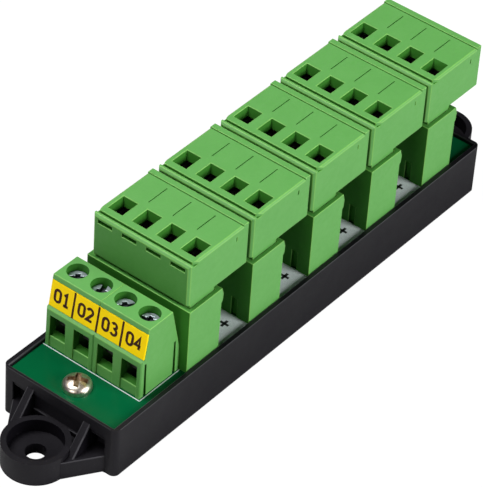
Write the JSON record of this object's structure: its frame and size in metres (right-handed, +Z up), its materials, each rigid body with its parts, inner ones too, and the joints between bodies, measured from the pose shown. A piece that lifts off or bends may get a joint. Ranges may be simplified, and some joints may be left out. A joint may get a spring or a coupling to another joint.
{
  "type": "distribution terminal block",
  "caption": "Slim distribution board in a black holder with screw ears: one green screw terminal feeds a row of pull-off green screw plugs.",
  "frame": {"origin": "centre of the holder's flat underside, midway between the two ears", "axes": "+X from the input screw terminal along the row of plugs, +Y across the holder, +Z up from the mounting surface"},
  "size_m": [0.1224, 0.0242, 0.0318],
  "materials": {
    "holder_black": "satin",
    "board_green": "satin",
    "screw_nickel": "bright",
    "housing_green": "satin",
    "screw_zinc": "satin",
    "cage_zinc": "satin",
    "marker_yellow": "satin",
    "contact_tin": "satin"
  },
  "bodies": {
    "holder": {"base": "holder_black", "board": "board_green", "board_screws": "screw_nickel", "input_housing_1": "housing_green", "input_housing_2": "housing_green", "input_contacts": "contact_tin", "marker_strip": "marker_yellow", "header_1": "housing_green", "header_pins_1": "contact_tin", "header_2": "housing_green", "header_pins_2": "contact_tin", "header_3": "housing_green", "header_pins_3": "contact_tin", "header_4": "housing_green", "header_pins_4": "contact_tin", "header_5": "housing_green", "header_pins_5": "contact_tin"},
    "input_screw_1": {"input_screw_1": "screw_zinc"},
    "input_cage_1": {"input_cage_1": "cage_zinc"},
    "input_screw_2": {"input_screw_2": "screw_zinc"},
    "input_cage_2": {"input_cage_2": "cage_zinc"},
    "input_screw_3": {"input_screw_3": "screw_zinc"},
    "input_cage_3": {"input_cage_3": "cage_zinc"},
    "input_screw_4": {"input_screw_4": "screw_zinc"},
    "input_cage_4": {"input_cage_4": "cage_zinc"},
    "plug_1": {"plug_1": "housing_green", "plug_1_cages": "cage_zinc", "plug_1_contacts": "contact_tin"},
    "plug_1_screw_1": {"plug_1_screw_1": "screw_zinc"},
    "plug_1_screw_2": {"plug_1_screw_2": "screw_zinc"},
    "plug_1_screw_3": {"plug_1_screw_3": "screw_zinc"},
    "plug_1_screw_4": {"plug_1_screw_4": "screw_zinc"},
    "plug_2": {"plug_2": "housing_green", "plug_2_cages": "cage_zinc", "plug_2_contacts": "contact_tin"},
    "plug_2_screw_1": {"plug_2_screw_1": "screw_zinc"},
    "plug_2_screw_2": {"plug_2_screw_2": "screw_zinc"},
    "plug_2_screw_3": {"plug_2_screw_3": "screw_zinc"},
    "plug_2_screw_4": {"plug_2_screw_4": "screw_zinc"},
    "plug_3": {"plug_3": "housing_green", "plug_3_cages": "cage_zinc", "plug_3_contacts": "contact_tin"},
    "plug_3_screw_1": {"plug_3_screw_1": "screw_zinc"},
    "plug_3_screw_2": {"plug_3_screw_2": "screw_zinc"},
    "plug_3_screw_3": {"plug_3_screw_3": "screw_zinc"},
    "plug_3_screw_4": {"plug_3_screw_4": "screw_zinc"},
    "plug_4": {"plug_4": "housing_green", "plug_4_cages": "cage_zinc", "plug_4_contacts": "contact_tin"},
    "plug_4_screw_1": {"plug_4_screw_1": "screw_zinc"},
    "plug_4_screw_2": {"plug_4_screw_2": "screw_zinc"},
    "plug_4_screw_3": {"plug_4_screw_3": "screw_zinc"},
    "plug_4_screw_4": {"plug_4_screw_4": "screw_zinc"},
    "plug_5": {"plug_5": "housing_green", "plug_5_cages": "cage_zinc", "plug_5_contacts": "contact_tin"},
    "plug_5_screw_1": {"plug_5_screw_1": "screw_zinc"},
    "plug_5_screw_2": {"plug_5_screw_2": "screw_zinc"},
    "plug_5_screw_3": {"plug_5_screw_3": "screw_zinc"},
    "plug_5_screw_4": {"plug_5_screw_4": "screw_zinc"}
  },
  "joints": [
    {"name": "input_screw_1_turn", "type": "hinge", "parent": "holder", "child": "input_screw_1", "pos_m": [-0.03615, 0.00837, 0.0204], "axis": [0, 0, -1], "range_deg": [0, 1230]},
    {"name": "input_cage_1_rise", "type": "slide", "parent": "holder", "child": "input_cage_1", "axis": [0, 0, 1], "range_m": [0, 0.0017]},
    {"name": "input_screw_2_turn", "type": "hinge", "parent": "holder", "child": "input_screw_2", "pos_m": [-0.03615, 0.00329, 0.0204], "axis": [0, 0, -1], "range_deg": [0, 1230]},
    {"name": "input_cage_2_rise", "type": "slide", "parent": "holder", "child": "input_cage_2", "axis": [0, 0, 1], "range_m": [0, 0.0017]},
    {"name": "input_screw_3_turn", "type": "hinge", "parent": "holder", "child": "input_screw_3", "pos_m": [-0.03615, -0.00179, 0.0204], "axis": [0, 0, -1], "range_deg": [0, 1230]},
    {"name": "input_cage_3_rise", "type": "slide", "parent": "holder", "child": "input_cage_3", "axis": [0, 0, 1], "range_m": [0, 0.0017]},
    {"name": "input_screw_4_turn", "type": "hinge", "parent": "holder", "child": "input_screw_4", "pos_m": [-0.03615, -0.00687, 0.0204], "axis": [0, 0, -1], "range_deg": [0, 1230]},
    {"name": "input_cage_4_rise", "type": "slide", "parent": "holder", "child": "input_cage_4", "axis": [0, 0, 1], "range_m": [0, 0.0017]},
    {"name": "plug_1_pull", "type": "slide", "parent": "holder", "child": "plug_1", "axis": [0, 0, 1], "range_m": [0, 0.0115]},
    {"name": "plug_1_screw_1_turn", "type": "hinge", "parent": "plug_1", "child": "plug_1_screw_1", "pos_m": [-0.0189, 0.00742, 0.0268], "axis": [-1, 0, 0], "range_deg": [0, 1080]},
    {"name": "plug_1_screw_2_turn", "type": "hinge", "parent": "plug_1", "child": "plug_1_screw_2", "pos_m": [-0.0189, 0.00234, 0.0268], "axis": [-1, 0, 0], "range_deg": [0, 1080]},
    {"name": "plug_1_screw_3_turn", "type": "hinge", "parent": "plug_1", "child": "plug_1_screw_3", "pos_m": [-0.0189, -0.00274, 0.0268], "axis": [-1, 0, 0], "range_deg": [0, 1080]},
    {"name": "plug_1_screw_4_turn", "type": "hinge", "parent": "plug_1", "child": "plug_1_screw_4", "pos_m": [-0.0189, -0.00782, 0.0268], "axis": [-1, 0, 0], "range_deg": [0, 1080]},
    {"name": "plug_2_pull", "type": "slide", "parent": "holder", "child": "plug_2", "axis": [0, 0, 1], "range_m": [0, 0.0115]},
    {"name": "plug_2_screw_1_turn", "type": "hinge", "parent": "plug_2", "child": "plug_2_screw_1", "pos_m": [-0.0027, 0.00742, 0.0268], "axis": [-1, 0, 0], "range_deg": [0, 1080]},
    {"name": "plug_2_screw_2_turn", "type": "hinge", "parent": "plug_2", "child": "plug_2_screw_2", "pos_m": [-0.0027, 0.00234, 0.0268], "axis": [-1, 0, 0], "range_deg": [0, 1080]},
    {"name": "plug_2_screw_3_turn", "type": "hinge", "parent": "plug_2", "child": "plug_2_screw_3", "pos_m": [-0.0027, -0.00274, 0.0268], "axis": [-1, 0, 0], "range_deg": [0, 1080]},
    {"name": "plug_2_screw_4_turn", "type": "hinge", "parent": "plug_2", "child": "plug_2_screw_4", "pos_m": [-0.0027, -0.00782, 0.0268], "axis": [-1, 0, 0], "range_deg": [0, 1080]},
    {"name": "plug_3_pull", "type": "slide", "parent": "holder", "child": "plug_3", "axis": [0, 0, 1], "range_m": [0, 0.0115]},
    {"name": "plug_3_screw_1_turn", "type": "hinge", "parent": "plug_3", "child": "plug_3_screw_1", "pos_m": [0.0135, 0.00742, 0.0268], "axis": [-1, 0, 0], "range_deg": [0, 1080]},
    {"name": "plug_3_screw_2_turn", "type": "hinge", "parent": "plug_3", "child": "plug_3_screw_2", "pos_m": [0.0135, 0.00234, 0.0268], "axis": [-1, 0, 0], "range_deg": [0, 1080]},
    {"name": "plug_3_screw_3_turn", "type": "hinge", "parent": "plug_3", "child": "plug_3_screw_3", "pos_m": [0.0135, -0.00274, 0.0268], "axis": [-1, 0, 0], "range_deg": [0, 1080]},
    {"name": "plug_3_screw_4_turn", "type": "hinge", "parent": "plug_3", "child": "plug_3_screw_4", "pos_m": [0.0135, -0.00782, 0.0268], "axis": [-1, 0, 0], "range_deg": [0, 1080]},
    {"name": "plug_4_pull", "type": "slide", "parent": "holder", "child": "plug_4", "axis": [0, 0, 1], "range_m": [0, 0.0115]},
    {"name": "plug_4_screw_1_turn", "type": "hinge", "parent": "plug_4", "child": "plug_4_screw_1", "pos_m": [0.0297, 0.00742, 0.0268], "axis": [-1, 0, 0], "range_deg": [0, 1080]},
    {"name": "plug_4_screw_2_turn", "type": "hinge", "parent": "plug_4", "child": "plug_4_screw_2", "pos_m": [0.0297, 0.00234, 0.0268], "axis": [-1, 0, 0], "range_deg": [0, 1080]},
    {"name": "plug_4_screw_3_turn", "type": "hinge", "parent": "plug_4", "child": "plug_4_screw_3", "pos_m": [0.0297, -0.00274, 0.0268], "axis": [-1, 0, 0], "range_deg": [0, 1080]},
    {"name": "plug_4_screw_4_turn", "type": "hinge", "parent": "plug_4", "child": "plug_4_screw_4", "pos_m": [0.0297, -0.00782, 0.0268], "axis": [-1, 0, 0], "range_deg": [0, 1080]},
    {"name": "plug_5_pull", "type": "slide", "parent": "holder", "child": "plug_5", "axis": [0, 0, 1], "range_m": [0, 0.0115]},
    {"name": "plug_5_screw_1_turn", "type": "hinge", "parent": "plug_5", "child": "plug_5_screw_1", "pos_m": [0.0459, 0.00742, 0.0268], "axis": [-1, 0, 0], "range_deg": [0, 1080]},
    {"name": "plug_5_screw_2_turn", "type": "hinge", "parent": "plug_5", "child": "plug_5_screw_2", "pos_m": [0.0459, 0.00234, 0.0268], "axis": [-1, 0, 0], "range_deg": [0, 1080]},
    {"name": "plug_5_screw_3_turn", "type": "hinge", "parent": "plug_5", "child": "plug_5_screw_3", "pos_m": [0.0459, -0.00274, 0.0268], "axis": [-1, 0, 0], "range_deg": [0, 1080]},
    {"name": "plug_5_screw_4_turn", "type": "hinge", "parent": "plug_5", "child": "plug_5_screw_4", "pos_m": [0.0459, -0.00782, 0.0268], "axis": [-1, 0, 0], "range_deg": [0, 1080]}
  ],
  "couplings": [
    {"joint": "input_screw_1_turn", "follows": "input_cage_1_rise", "rad_per_m": 12566},
    {"joint": "input_screw_2_turn", "follows": "input_cage_2_rise", "rad_per_m": 12566},
    {"joint": "input_screw_3_turn", "follows": "input_cage_3_rise", "rad_per_m": 12566},
    {"joint": "input_screw_4_turn", "follows": "input_cage_4_rise", "rad_per_m": 12566}
  ]
}
